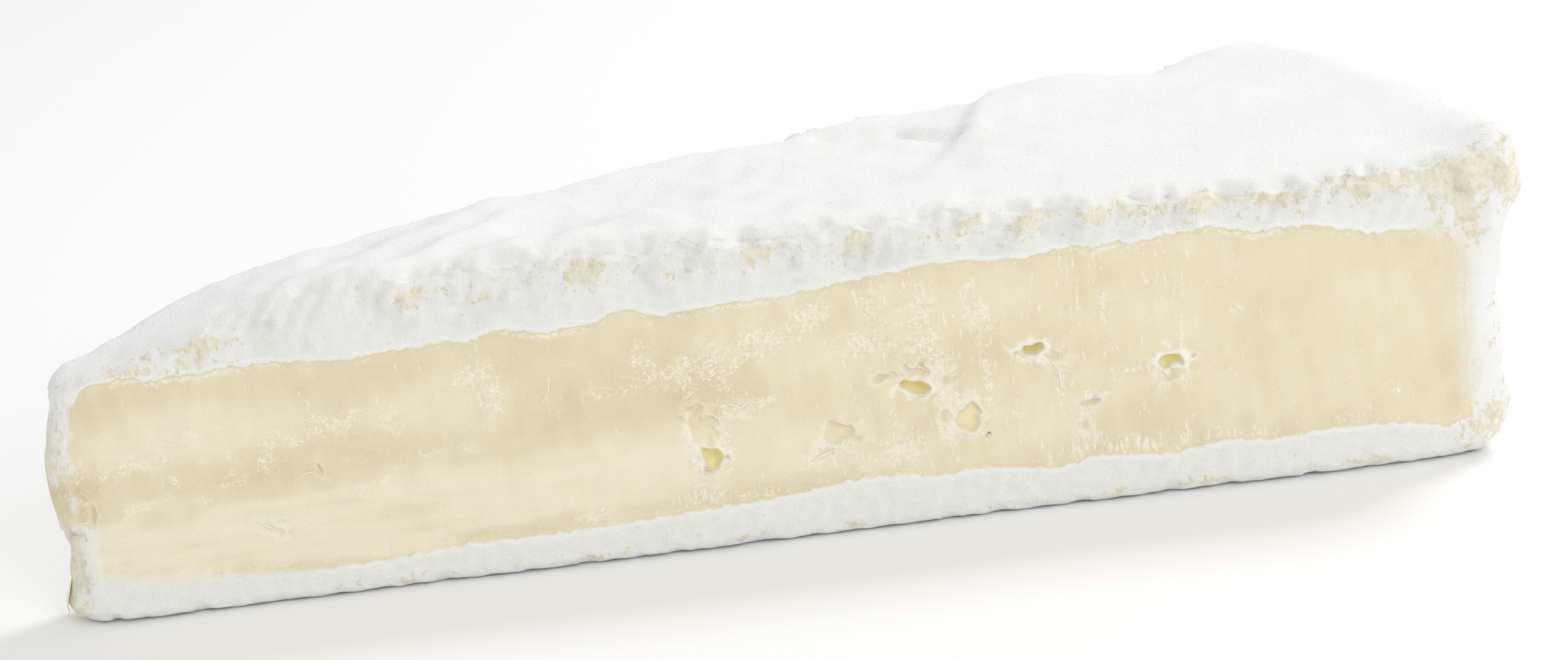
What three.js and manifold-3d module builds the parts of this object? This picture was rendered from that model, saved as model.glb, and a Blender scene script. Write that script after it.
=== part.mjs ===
// A wedge of soft white-rind cheese, cut from the centre to the rim of a large flat wheel.
// Millimetres, +Z up. The front cut runs along X and faces -Y, the tip points to -X,
// and the rim of the wheel faces +X. The wedge lies on its flat underside at z = 0.
// It is one solid: the rind shows as a low step round both cuts, and the eyes are cut in.
import * as THREE from "three";
import { mergeVertices } from "three/addons/utils/BufferGeometryUtils.js";
import Module from "manifold-3d";

const { clamp, degToRad, lerp, smoothstep } = THREE.MathUtils;

// The wheel and the cut. While it is built, the wedge's x and y start at the wheel's centre.
const WHEEL_RADIUS = 178.7;
const TIP_RADIUS = 19.5;
const CUT_ANGLE = degToRad(21.4);
const THICKNESS = 36.5;

// Edges: how far the rind rounds over at the top, and how tight the underside edge is. The
// foot is rounder by these amounts at the tip and at the rim, and within these lengths of them.
const TOP_ROUND = 3;
const BASE_ROUND = 1.8;
const TIP_FOOT_ROUND = { more: 1.4, within: 4 };
const RIM_FOOT_ROUND = { more: 1.9, within: 6 };

// Paste as it shows on a cut: the height of its upper edge near the tip, the height of its
// lower edge, and the depth of the rind at the rim. The rind stands proud by a small step.
const PASTE_TOP = 27.7;
const PASTE_FOOT = 5.2;
const RIM_RIND = 4.2;
const RIND_PROUD = 0.4;
const RIND_STEP = 0.5;

// The ripe tip sinks: how much lower it is, and where the sinking ends.
const TIP_SINK = 8.1;
const TIP_SINK_END = 60;
const TIP_SINK_POWER = 1.45;

// The rim leans out in a lip at the top and a smaller one at the foot, with a waist between.
const RIM_LIP = 3.9;
const RIM_LIP_FROM = 19;
const RIM_LIP_TO = 30.5;
const RIM_FOOT = 0.9;
const RIM_FOOT_HEIGHT = 6;

// Cells of the block along the cut, across the wedge and up its height.
const CELLS_ALONG = 74;
const CELLS_ACROSS = 13;
const CELLS_UP = 17;

// Swells and hollows of the top rind: centre x and y, half length, half width, the turn of
// the length from X in degrees, and the height.
const SWELLS = [
  [38, 14.5, 12, 4.5, 20, 1.3],
  [52, 2, 8, 4, 0, 0.5],
  [60, 12, 10, 6, 20, 0.5],
  [70, 3, 6, 4, 0, 0.8],
  [76, 12, 5, 4, -30, -0.9],
  [89, 4, 7, 5, 5, 1],
  [92, 34, 12, 7, 20, 0.9],
  [106, 42, 4, 4, 22, 0.9],
  [112, 45, 9, 4.5, 12, 1.5],
  [137, 56, 5, 7, 25, 0.9],
  [140, 56, 8, 6, 22, -0.5],
  [148, 58, 4.5, 6, 60, -1.5],
  [158, 2, 22, 8, 0, -1.6],
  [160, 30, 14, 14, 0, -0.4],
  [172, 10, 5, 5, 0, -0.7],
  [174, 58, 5, 8, 0, -0.5],
  [180, 3, 4, 5, 0, 1.5],
  [181, 4, 3.2, 6, 0, 0.6],
];

// Creases of the top rind, each a line from one point to another with its width and height.
const CREASES = [
  [101, 40, 117, 36, 1.5, -0.9],
  [117, 36, 123, 31, 1.4, -1.1],
  [68, 23, 71, 18, 1.6, 0.6],
  [71, 18, 62, 6, 1.8, 0.6],
  [78, 5, 87, 10, 1.8, 0.5],
];

// The ledge where the rind right of it lies higher: a line, the rise, and how far it reaches.
const LEDGE = { from: [121, 22], to: [130, 53], rise: 1.3, edge: 1.6, reach: 16 };

// Eyes of the front cut: distance from the wheel's centre, height, width, tallness and depth.
const FRONT_EYES = [
  [90.1, 10.9, 2.4, 2.6, 3],
  [89.2, 14.6, 2, 2.4, 1.2],
  [104.5, 11.8, 4.2, 3.4, 1.3],
  [113.6, 16.4, 3.4, 1.9, 3],
  [118, 11.9, 3, 3.4, 1.2],
  [126.5, 18.8, 3.2, 1.7, 3.2],
  [141.7, 15.5, 3, 2, 2.6],
];
const BACK_EYES = 7;
const EYE_SEED = 41;

// A torn curl of rind that hangs at the foot of the tip: length, thickness and lean.
const CURL = { length: 4.4, radius: 0.55, height: 3.2, out: 0.35, lean: degToRad(14) };

// How high a Gaussian mound is at a distance, given its half width.
const mound = (distance, halfWidth) => Math.exp(-((distance / halfWidth) ** 2));

// A repeatable stream of numbers from 0 to 1.
function seeded(seed) {
  let state = seed;
  return () => {
    state = (state * 1664525 + 1013904223) % 4294967296;
    return state / 4294967296;
  };
}

function swell(x, y, [centreX, centreY, length, width, turn, height]) {
  const angle = degToRad(turn);
  const dx = x - centreX;
  const dy = y - centreY;
  const along = dx * Math.cos(angle) + dy * Math.sin(angle);
  const across = dy * Math.cos(angle) - dx * Math.sin(angle);
  return height * mound(along, length) * mound(across, width);
}

function crease(x, y, [ax, ay, bx, by, width, height]) {
  const line = new THREE.Vector2(bx - ax, by - ay);
  const from = new THREE.Vector2(x - ax, y - ay);
  const share = clamp(from.dot(line) / line.lengthSq(), 0, 1);
  return height * mound(from.addScaledVector(line, -share).length(), width);
}

function ledge(x, y) {
  const [ax, ay] = LEDGE.from;
  const line = new THREE.Vector2(LEDGE.to[0] - ax, LEDGE.to[1] - ay);
  const length = line.length();
  line.normalize();
  const along = (x - ax) * line.x + (y - ay) * line.y;
  const beyond = (x - ax) * line.y - (y - ay) * line.x;
  const ends = smoothstep(along, -6, 6) * (1 - smoothstep(along, length, length + 12));
  const face = smoothstep(beyond, -LEDGE.edge, LEDGE.edge);
  return LEDGE.rise * ends * face * mound(Math.max(beyond, 0), LEDGE.reach);
}

// Height of the top rind over the point (x, y).
function topHeight(x, y) {
  const nearTip = clamp((TIP_SINK_END - x) / (TIP_SINK_END - TIP_RADIUS), 0, 1);
  let z = THICKNESS - TIP_SINK * nearTip ** TIP_SINK_POWER;
  z += ledge(x, y);
  for (const row of SWELLS) z += swell(x, y, row);
  for (const row of CREASES) z += crease(x, y, row);
  z += 0.18 * Math.sin(x / 5.1 - y / 3.7) + 0.14 * Math.sin(x / 8.3 + y / 4.9 + 1.7);
  return z;
}

// Heights on a cut where the rind ends and the paste starts, at a distance along the cut.
function topOfPaste(along) {
  const wander = 0.3 * Math.sin(along / 4.7) + 0.25 * Math.sin(along / 2.1 + 1);
  const rise = 2.2 * smoothstep(along, 92, 118);
  const fall = 3.2 * smoothstep(along, 148, 172);
  const atTip = 3.5 * (1 - smoothstep(along, TIP_RADIUS, 24));
  return PASTE_TOP + wander + rise - fall - atTip;
}

function footOfPaste(along) {
  const wander = 0.35 * Math.sin(along / 5.3 + 2) + 0.25 * Math.sin(along / 2.6);
  const dip = -1.4 * mound(along - 44, 20);
  const atTip = 4.5 * (1 - smoothstep(along, TIP_RADIUS, 25));
  return PASTE_FOOT + wander + dip + atTip;
}

// How round the underside edge is at a distance along the cut.
function baseRound(along) {
  const atTip = TIP_FOOT_ROUND.more * mound(along - TIP_RADIUS, TIP_FOOT_ROUND.within);
  const atRim = RIM_FOOT_ROUND.more * mound(along - WHEEL_RADIUS, RIM_FOOT_ROUND.within);
  return BASE_ROUND + atTip + atRim;
}

// Relief of a cut face at a distance along it and a height, positive outwards.
function cutRelief(along, z) {
  const inPaste =
    smoothstep(topOfPaste(along) - z, 0, RIND_STEP) *
    smoothstep(z - footOfPaste(along), 0, RIND_STEP) *
    smoothstep(WHEEL_RADIUS - RIM_RIND - along, 0, RIND_STEP);
  const drag = 0.2 * Math.sin(along / 11 + z / 9) + 0.12 * Math.sin(along / 3.4 - z / 21);
  const crinkle = 0.22 * Math.sin(along / 2.9 + 1.5 * Math.sin(along / 13));
  const atTop = smoothstep(z, PASTE_TOP, PASTE_TOP + 6);
  return drag - RIND_PROUD * inPaste + crinkle * atTop;
}

// Relief of the rim at an angle round the wheel and a height, positive outwards.
function rimRelief(angle, z) {
  const lip = RIM_LIP * smoothstep(z, RIM_LIP_FROM, RIM_LIP_TO);
  const foot = RIM_FOOT * mound(z - RIM_FOOT_HEIGHT, 4.5);
  const turn = angle * WHEEL_RADIUS;
  const folds = 0.45 * Math.sin(turn / 3.9 + z / 8) + 0.3 * Math.sin(turn / 1.9 - z / 5);
  const wear = lerp(1, 0.4, smoothstep(angle / CUT_ANGLE, 0.3, 1));
  return lip * wear + foot + folds * smoothstep(z, 2, 10);
}

// Relief of the blunt tip at a height, positive outwards: a full belly under a hollow
// shoulder, a torn step below the belly, and a foot that spreads.
function tipRelief(z) {
  const belly = 1.3 * mound(z - 16, 6.5);
  const shoulder = -0.6 * mound(z - 25, 2.5);
  const step = -0.4 * (1 - smoothstep(z, 10.2, 11));
  const foot = 1.8 * mound(z - 1, 4);
  return belly + shoulder + step + foot;
}

// Places the even rows of the block where the form needs them. A list holds pairs of a
// row number and the place of that row, and the rows between two pairs are evenly spaced.
function rowPlace(row, pairs) {
  for (let i = 1; i < pairs.length; i++) {
    const [startRow, start] = pairs[i - 1];
    const [endRow, end] = pairs[i];
    if (row <= endRow) return lerp(start, end, (row - startRow) / (endRow - startRow));
  }
  return pairs.at(-1)[1];
}

const rowAlong = (row) =>
  rowPlace(row, [
    [0, TIP_RADIUS],
    [3, TIP_RADIUS + TOP_ROUND],
    [CELLS_ALONG - 6, WHEEL_RADIUS - RIM_RIND - RIND_STEP],
    [CELLS_ALONG - 5, WHEEL_RADIUS - RIM_RIND],
    [CELLS_ALONG - 3, WHEEL_RADIUS - TOP_ROUND],
    [CELLS_ALONG, WHEEL_RADIUS],
  ]);

// The block is as thick everywhere as the wedge's body, and is stretched to the top rind's
// height afterwards, so heights on the cut are stretched the other way first.
const blockHeight = (along, z) => (z * THICKNESS) / topHeight(along, 0);

const rowUp = (row, along) =>
  rowPlace(row, [
    [0, 0],
    [2, baseRound(along)],
    [3, blockHeight(along, footOfPaste(along))],
    [4, blockHeight(along, footOfPaste(along) + RIND_STEP)],
    [11, blockHeight(along, topOfPaste(along) - RIND_STEP)],
    [12, blockHeight(along, topOfPaste(along))],
    [14, THICKNESS - TOP_ROUND],
    [CELLS_UP, THICKNESS],
  ]);

const rowAcross = (row, width) => {
  const edge = Math.min(TOP_ROUND, width * 0.45);
  return rowPlace(row, [
    [0, -width / 2],
    [3, edge - width / 2],
    [CELLS_ACROSS - 3, width / 2 - edge],
    [CELLS_ACROSS, width / 2],
  ]);
};

// Moves one point of the block, given as whole row numbers, to its place on the wedge.
function placeOnWedge(rows) {
  const along = rowAlong(rows.x);
  const width = along * CUT_ANGLE;
  const across = rowAcross(rows.y, width);
  const up = rowUp(rows.z, along);

  // The nearest point of a smaller block, from which the rounded edge swings out.
  const round = lerp(baseRound(along), TOP_ROUND, smoothstep(up, 0, THICKNESS));
  const core = new THREE.Vector3(
    clamp(along, TIP_RADIUS + round, WHEEL_RADIUS - round),
    clamp(across, round - width / 2, width / 2 - round),
    clamp(up, round, THICKNESS - round),
  );
  const outward = new THREE.Vector3(along, across, up).sub(core).normalize();
  const point = core.clone().addScaledVector(outward, round);

  // Relief, by how much the point faces each side.
  const angle = CUT_ANGLE * (0.5 + clamp(point.y / width, -0.5, 0.5));
  const height = (up * topHeight(along, 0)) / THICKNESS;
  const cut = cutRelief(along, height) * Math.abs(outward.y);
  const rim = rimRelief(angle, up) * Math.max(outward.x, 0);
  const tip = tipRelief(height) * Math.max(-outward.x, 0);

  // From the straight block to the wheel: across becomes an angle round its centre.
  const radius = point.x + rim - tip;
  const side = point.y / along + CUT_ANGLE / 2;
  const x = radius * Math.cos(side) - Math.sin(side) * cut * Math.sign(outward.y);
  const y = radius * Math.sin(side) + Math.cos(side) * cut * Math.sign(outward.y);
  return new THREE.Vector3(x, y, (point.z / THICKNESS) * topHeight(x, y));
}

function wedgeGeometry() {
  const block = new THREE.BoxGeometry(
    CELLS_ALONG, CELLS_ACROSS, CELLS_UP, CELLS_ALONG, CELLS_ACROSS, CELLS_UP,
  );
  block.translate(CELLS_ALONG / 2, CELLS_ACROSS / 2, CELLS_UP / 2);
  const geometry = weld(block);
  const points = geometry.getAttribute("position");
  const point = new THREE.Vector3();
  for (let i = 0; i < points.count; i++) {
    const place = placeOnWedge(point.fromBufferAttribute(points, i).round());
    points.setXYZ(i, place.x, place.y, place.z);
  }
  return geometry;
}

// One eye: an egg-shaped hollow that runs into the paste from a point on a cut face.
function eyeGeometry(width, tall, depth) {
  const eye = new THREE.SphereGeometry(0.5, 10, 7);
  eye.rotateX(Math.PI / 2);
  return eye.scale(width, 2 * depth, tall);
}

function frontEyes() {
  return FRONT_EYES.map(([along, z, width, tall, depth]) =>
    eyeGeometry(width, tall, depth).translate(along, 0, z),
  );
}

function backEyes() {
  const random = seeded(EYE_SEED);
  return Array.from({ length: BACK_EYES }, (_, i) => {
    const along = lerp(62, 168, (i + random()) / BACK_EYES);
    const z = lerp(9, 24, random());
    const eye = eyeGeometry(lerp(1.8, 3.6, random()), lerp(1.6, 3, random()), lerp(1.4, 3, random()));
    return eye.translate(along, 0, z).rotateZ(CUT_ANGLE);
  });
}

function curlGeometry() {
  const curl = new THREE.LatheGeometry(
    [
      new THREE.Vector2(0, -CURL.length * 0.7),
      new THREE.Vector2(CURL.radius * 0.7, -CURL.length * 0.3),
      new THREE.Vector2(CURL.radius, 0),
      new THREE.Vector2(0, CURL.length * 0.3),
    ],
    8,
  );
  curl.rotateX(Math.PI / 2);
  curl.rotateY(CURL.lean);
  return curl.translate(TIP_RADIUS + CURL.out, TIP_RADIUS * Math.sin(CUT_ANGLE) * 0.35, CURL.height);
}

// The geometry with position alone and its shared vertices merged.
function weld(geometry) {
  for (const name of ["normal", "uv"]) geometry.deleteAttribute(name);
  return mergeVertices(geometry, 1e-4);
}

const wasm = await Module();
wasm.setup();

function toSolid(geometry) {
  const welded = weld(geometry);
  return new wasm.Manifold(
    new wasm.Mesh({
      numProp: 3,
      vertProperties: welded.getAttribute("position").array,
      triVerts: new Uint32Array(welded.index.array),
    }),
  );
}

function fromSolid(solid) {
  const mesh = solid.getMesh();
  const geometry = new THREE.BufferGeometry();
  geometry.setAttribute("position", new THREE.BufferAttribute(mesh.vertProperties, 3));
  geometry.setIndex(new THREE.BufferAttribute(mesh.triVerts, 1));
  geometry.computeVertexNormals();
  return geometry;
}

function cheeseMesh() {
  let solid = toSolid(wedgeGeometry()).add(toSolid(curlGeometry()));
  for (const eye of [...frontEyes(), ...backEyes()]) solid = solid.subtract(toSolid(eye));
  const geometry = fromSolid(solid);

  // The origin is the middle of the wedge's box, on the surface that it lies on.
  geometry.computeBoundingBox();
  const middle = geometry.boundingBox.getCenter(new THREE.Vector3());
  geometry.translate(-middle.x, -middle.y, -geometry.boundingBox.min.z);

  const material = new THREE.MeshStandardMaterial({
    color: new THREE.Color(0.9, 0.88, 0.8),
    roughness: 0.75,
    metalness: 0,
  });
  const mesh = new THREE.Mesh(geometry, material);
  mesh.name = "brie_wedge";
  return mesh;
}

const cheese = new THREE.Group();
cheese.add(cheeseMesh());

export default cheese;
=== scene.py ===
# %% [markdown]
# # A wedge of ripe brie
#
# A brie is a flat wheel of soft cheese, about 36 cm across, in a thin white rind of mould.
# This lesson models one wedge of it: a velvety white top, two cut faces of cream-coloured
# paste with a few small eyes, and the lipped rim of the wheel at the broad end.
#
# The body is one block of fine cells. Each corner of a cell is moved by a function, first to
# the rounded wedge and then by the small relief that a knife and ripening leave. The colours
# come from noise and from a few numbers that the same functions store on the mesh.

import math

import bmesh
import bpy
import numpy as np
from mathutils import Matrix, Vector


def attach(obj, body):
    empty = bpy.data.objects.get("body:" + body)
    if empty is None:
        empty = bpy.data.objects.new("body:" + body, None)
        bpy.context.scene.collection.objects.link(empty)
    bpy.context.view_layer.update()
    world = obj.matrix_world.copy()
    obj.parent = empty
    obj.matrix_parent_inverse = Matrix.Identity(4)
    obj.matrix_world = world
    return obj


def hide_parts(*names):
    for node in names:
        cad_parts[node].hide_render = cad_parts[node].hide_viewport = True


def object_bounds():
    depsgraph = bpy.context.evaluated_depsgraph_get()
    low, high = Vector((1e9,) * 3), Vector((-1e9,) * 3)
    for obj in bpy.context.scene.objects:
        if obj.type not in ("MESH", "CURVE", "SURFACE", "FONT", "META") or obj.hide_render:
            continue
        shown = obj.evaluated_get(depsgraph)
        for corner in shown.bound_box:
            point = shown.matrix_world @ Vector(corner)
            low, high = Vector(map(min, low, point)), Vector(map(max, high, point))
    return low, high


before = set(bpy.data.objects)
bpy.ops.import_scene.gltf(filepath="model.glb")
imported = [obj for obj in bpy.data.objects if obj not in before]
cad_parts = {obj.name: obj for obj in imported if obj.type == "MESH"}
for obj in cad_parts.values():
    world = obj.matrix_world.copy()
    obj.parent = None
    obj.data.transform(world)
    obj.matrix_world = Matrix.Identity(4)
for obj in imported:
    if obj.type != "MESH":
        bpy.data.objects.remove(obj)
cad_low, cad_high = [list(corner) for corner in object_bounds()]
print("box of the solid part, mm:", [round(1000 * (h - l), 1) for l, h in zip(cad_low, cad_high)])

# %% [markdown]
# ## Sizes of the wheel and of the cut
#
# It is easiest to think of a wedge as a piece of a wheel. So all the shaping is done in
# millimetres, with x and y measured from the wheel's centre, and only the last step moves the
# wedge to the middle of its own box and turns millimetres into metres.

# %% The wheel and the cut
WHEEL_RADIUS = 178.7
TIP_RADIUS = 19.5
CUT_ANGLE = math.radians(21.4)
THICKNESS = 36.5
TOP_ROUND = 3.0
BASE_ROUND = 1.8
BOX_MIDDLE = (100.0981, 32.1898)


# %% Soft steps, mounds and random swells
def soft_step(value, start, end):
    share = np.clip((value - start) / (end - start), 0, 1)
    return share * share * (3 - 2 * share)


def mound(distance, half_width):
    return np.exp(-((distance / half_width) ** 2))


def swells(places, size, seed, waves=18):
    """A random field of about -1 to 1 over points of any dimension, with swells of one size."""
    draw = np.random.default_rng(seed)
    total = np.zeros(len(places[0]))
    for _ in range(waves):
        direction = draw.normal(size=len(places))
        direction *= 2 * math.pi / (np.linalg.norm(direction) * size * draw.uniform(1.4, 3.2))
        phase = draw.uniform(0, 2 * math.pi)
        total += np.sin(sum(d * p for d, p in zip(direction, places)) + phase)
    return total / math.sqrt(waves)


# %% [markdown]
# ## The top rind
#
# The top of a ripe brie isn't flat. It sinks towards the soft tip, and it has low swells,
# creases from the cloth it was turned on, and a ledge where the rind has slipped. Gaussian
# mounds are a good brush for this: each has a place, a length, a width, a turn and a height.
# A second table lifts the top along its back edge, which is the outline seen from the front.

# %% Height of the top rind
TOP_SWELLS = [
    (38, 14.5, 12, 4.5, 20, 1.3),
    (52, 2, 8, 4, 0, 0.5),
    (60, 12, 10, 6, 20, 0.5),
    (70, 3, 6, 4, 0, 0.8),
    (76, 12, 5, 4, -30, -0.9),
    (89, 4, 7, 5, 5, 1.0),
    (92, 34, 12, 7, 20, 0.9),
    (106, 42, 4, 4, 22, 0.9),
    (112, 45, 9, 4.5, 12, 1.5),
    (137, 56, 5, 7, 25, 0.9),
    (140, 56, 8, 6, 22, -0.5),
    (148, 58, 4.5, 6, 60, -1.5),
    (158, 2, 22, 8, 0, -1.6),
    (160, 30, 14, 14, 0, -0.4),
    (172, 10, 5, 5, 0, -0.7),
    (174, 58, 5, 8, 0, -0.5),
    (180, 3, 4, 5, 0, 1.5),
    (181, 4, 3.2, 6, 0, 0.6),
]
BACK_EDGE_SWELLS = [
    (20.9, 8.2, 3, 3.5, 21, 0.75),
    (46.1, 18.1, 5, 5, 21, 1.05),
    (80.1, 31.4, 6, 7, 21, 0.8),
    (104.3, 40.9, 4, 6, 21, 0.6),
    (112.7, 44.1, 5, 6, 21, 0.5),
    (123.4, 48.3, 3, 5, 21, 0.65),
    (159.2, 62.4, 3.5, 6, 21, 0.55),
]
TOP_CREASES = [
    (101, 40, 117, 36, 1.5, -0.9),
    (117, 36, 123, 31, 1.4, -1.1),
    (68, 23, 71, 18, 1.6, 0.1),
    (71, 18, 62, 6, 1.8, 0.6),
    (78, 5, 87, 10, 1.8, 0.5),
]


def top_height(x, y):
    near_tip = np.clip((60 - x) / (60 - TIP_RADIUS), 0, 1)
    z = THICKNESS - 8.1 * near_tip**1.45
    for cx, cy, length, width, turn, height in TOP_SWELLS + BACK_EDGE_SWELLS:
        c, s = math.cos(math.radians(turn)), math.sin(math.radians(turn))
        along, across = (x - cx) * c + (y - cy) * s, (y - cy) * c - (x - cx) * s
        z = z + height * mound(along, length) * mound(across, width)
    for ax, ay, bx, by, width, height in TOP_CREASES:
        lx, ly = bx - ax, by - ay
        share = np.clip(((x - ax) * lx + (y - ay) * ly) / (lx * lx + ly * ly), 0, 1)
        z = z + height * mound(np.hypot(x - ax - share * lx, y - ay - share * ly), width)
    z = z + ledge_height(x, y)
    return z + 0.18 * np.sin(x / 5.1 - y / 3.7) + 0.14 * np.sin(x / 8.3 + y / 4.9 + 1.7)


def ledge_height(x, y, start=(121, 22), end=(130, 53), rise=1.3):
    length = math.dist(start, end)
    lx, ly = (end[0] - start[0]) / length, (end[1] - start[1]) / length
    along = (x - start[0]) * lx + (y - start[1]) * ly
    beyond = (x - start[0]) * ly - (y - start[1]) * lx
    ends = soft_step(along, -6, 6) * (1 - soft_step(along, length, length + 12))
    return rise * ends * soft_step(beyond, -1.6, 1.6) * mound(np.maximum(beyond, 0), 16)


# %% [markdown]
# ## Where the paste shows
#
# On a cut, the cream-coloured paste lies between two bands of rind. Its edge wanders: it
# follows the folds of the rind above it and is dragged a little by the knife. Two tables give
# its height along the front cut, and the waves add what lies between their rows.

# %% Edges of the paste on a cut
PASTE_TOP = [
    (19, 22.5), (22.2, 25.5), (23.9, 27.5), (27, 28), (32, 27.4), (40, 27.8), (45, 27.8),
    (51, 27.2), (60, 27.6), (66, 27.6), (69.4, 28.3), (74, 27.4), (79.6, 27.8), (81.4, 28.5),
    (87, 27.5), (92, 28.1), (100, 28.2), (109, 29.2), (117.5, 30), (122.7, 29.5), (126, 29.2),
    (130.4, 29.8), (139, 29.6), (147.3, 30.2), (152, 28.9), (156.3, 29.2), (160.6, 28.5),
    (165, 27.2), (169.2, 27.3), (172, 26.6), (174.5, 25.2), (180, 24.5),
]
PASTE_FOOT = [
    (19, 10.5), (20.5, 8.5), (22.5, 6), (26.7, 4.9), (32, 4.5), (37, 4.1), (45.4, 3.6),
    (54, 3.7), (63, 4.4), (80, 4.6), (89, 5.1), (98, 5.4), (106.6, 6.3), (111, 6.3),
    (115, 5.5), (119.6, 5.9), (128.3, 4.8), (133, 5.8), (137, 5.3), (141.5, 4.9), (147, 5.7),
    (152, 5.2), (159, 5.6), (168, 5), (172, 4), (176, 5.3),
]
RIM_RIND = 4.0


def paste_edges(along, side):
    """Heights of the paste's upper and lower edge along the front cut (0) or the back cut (1)."""
    top = np.interp(along, *zip(*PASTE_TOP))
    foot = np.interp(along, *zip(*PASTE_FOOT))
    back_top = 28.2 + 0.8 * swells([along], 9, 5) - 1.5 * soft_step(along, 150, 172)
    back_top -= 4.5 * (1 - soft_step(along, 18.5, 24))
    back_foot = 5.1 + 0.5 * swells([along], 11, 6) + 4.5 * (1 - soft_step(along, 18.5, 24))
    rough = 0.10 + 0.14 * (1 - soft_step(along, 60, 80)) + 0.14 * soft_step(along, 120, 135)
    scallops = 0.6 * swells([along], 0.8, 7) + 0.8 * swells([along], 2.2, 62)
    top = np.where(side > 0.5, back_top, top) + rough * scallops
    top = top + 0.5 * mound(along - 83.5, 1.6) * (side < 0.5)
    foot = np.where(side > 0.5, back_foot, foot) + 0.10 * swells([along], 1.1, 8)
    return top, foot


def paste_distance(along, height, side):
    """Millimetres into the paste from its nearest edge on a cut, negative on the rind."""
    top, foot = paste_edges(along, side)
    rim = WHEEL_RADIUS - RIM_RIND + 0.3 * swells([height], 5, 9) - along
    tip = along - 21.3 - 1.2 * (1 - soft_step(height, 11, 12.5)) - 0.3 * swells([height], 2, 10)
    return np.minimum(np.minimum(top - height, height - foot), np.minimum(rim, tip))


# %% [markdown]
# ## Eyes and torn spots
#
# Gas makes small eyes in the paste, and the knife tears their lips. Each is a hollow pushed
# into the cut: its place, half width, half height, turn, depth, and how steep its wall is.
# The surface rises a little round it, where the torn lip curls out.

# %% The eyes of both cuts
FRONT_EYES = [
    (90.4, 10.7, 1.3, 1.25, 15, 1.7, 3),
    (89.7, 13.6, 1.5, 2.9, 6, 0.55, 3),
    (88.9, 16.4, 1.0, 0.7, 0, 0.4, 2),
    (104.7, 11.7, 1.8, 1.2, 0, 0.6, 4),
    (102.6, 9.6, 1.6, 0.7, 20, 0.3, 2),
    (113.7, 15.9, 1.5, 0.8, -8, 1.7, 3),
    (113.8, 17.4, 1.5, 1.0, 0, 0.6, 3),
    (116.9, 16.2, 0.7, 0.8, 0, 0.35, 2),
    (119.1, 11.8, 1.4, 1.6, -20, 0.8, 4),
    (116.4, 12.2, 0.7, 1.1, 0, 0.5, 2),
    (109.8, 17.5, 1.3, 0.45, 5, 0.6, 3),
    (126.6, 18.7, 1.4, 0.7, 3, 1.7, 3),
    (128.7, 17.7, 1.4, 0.7, -15, 0.35, 3),
    (141.7, 15.6, 1.5, 0.8, 3, 1.5, 3),
    (141.5, 14.0, 1.4, 0.9, 0, 0.4, 3),
    (132.7, 11.9, 1.0, 0.4, 15, 0.5, 3),
    (131.6, 9.2, 0.6, 0.9, 0, 0.35, 2),
    (47.7, 15.0, 0.35, 0.9, 8, 0.35, 2),
    (22.6, 12.6, 0.3, 1.1, -5, 0.4, 2),
    (41.6, 8.6, 1.4, 0.6, -25, 0.35, 2),
]
BACK_EYES = [
    (66.0, 12.5, 1.6, 1.2, 10, 2.0, 3),
    (84.5, 19.6, 1.1, 0.8, -15, 1.8, 3),
    (99.0, 11.0, 2.2, 1.5, 20, 1.0, 3),
    (110.5, 17.2, 1.5, 0.8, 0, 2.4, 3),
    (112.0, 15.6, 1.9, 1.3, 30, 0.7, 3),
    (129.0, 21.0, 1.2, 0.7, 12, 2.0, 3),
    (141.0, 10.5, 1.7, 1.1, -10, 2.2, 3),
    (158.0, 16.5, 1.4, 1.0, 25, 1.6, 3),
]


def eye_relief(along, height, side):
    """How deep the eyes are pushed in, and how near a point is to a torn lip, from 0 to 1."""
    depth = np.zeros_like(along)
    lip = np.zeros_like(along)
    ragged = 0.22 * swells([along, height], 0.8, 11)
    for wanted, eyes in ((0, FRONT_EYES), (1, BACK_EYES)):
        here = np.abs(side - wanted) < 0.5
        for s0, z0, half_width, half_height, turn, deep, steep in eyes:
            c, s = math.cos(math.radians(turn)), math.sin(math.radians(turn))
            dx, dz = along - s0, height - z0
            reach = np.hypot((dx * c + dz * s) / half_width, (dz * c - dx * s) / half_height)
            corners = 0.14 * np.cos(3 * np.arctan2(dz, dx) + s0)
            reach = reach * (1 + ragged + corners)
            inside = here * np.clip(1 - reach**steep, 0, 1)
            depth = np.maximum(depth, deep * inside)
            curl = mound((reach - 1.22) * min(half_width, half_height), 0.26)
            lip = np.maximum(lip, here * curl * min(1.0, deep / 1.4))
    return depth, lip


# %% [markdown]
# ## From a cube of cells to the wedge
#
# A cube is cut into fine cells with `subdivide_edges`, one direction after the other. While
# it is still a cube, the cells near each eye are cut once or twice more, so that the steep
# walls of the eyes are smooth and the rest stays light.

# %% A cube of cells
CELLS = {0: 318, 1: 42, 2: 70}

wedge = bmesh.new()
bmesh.ops.create_cube(wedge, size=1)
for axis, cells in CELLS.items():
    run = [
        edge
        for edge in wedge.edges
        if abs(edge.verts[0].co[axis] - edge.verts[1].co[axis]) > 0.5
    ]
    bmesh.ops.subdivide_edges(wedge, edges=run, cuts=cells - 1, use_grid_fill=True)
print("cells on the cube:", len(wedge.faces))

# %% Rows of the cube and their places on the wedge
ROWS_ALONG = [
    (0, TIP_RADIUS),
    (0.025, TIP_RADIUS + TOP_ROUND),
    (0.975, WHEEL_RADIUS - TOP_ROUND),
    (1, WHEEL_RADIUS),
]
ROWS_UP = [
    (0, 0),
    (0.06, BASE_ROUND),
    (0.86, THICKNESS - TOP_ROUND),
    (1, THICKNESS),
]
EDGE_ROWS = 0.12


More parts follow.
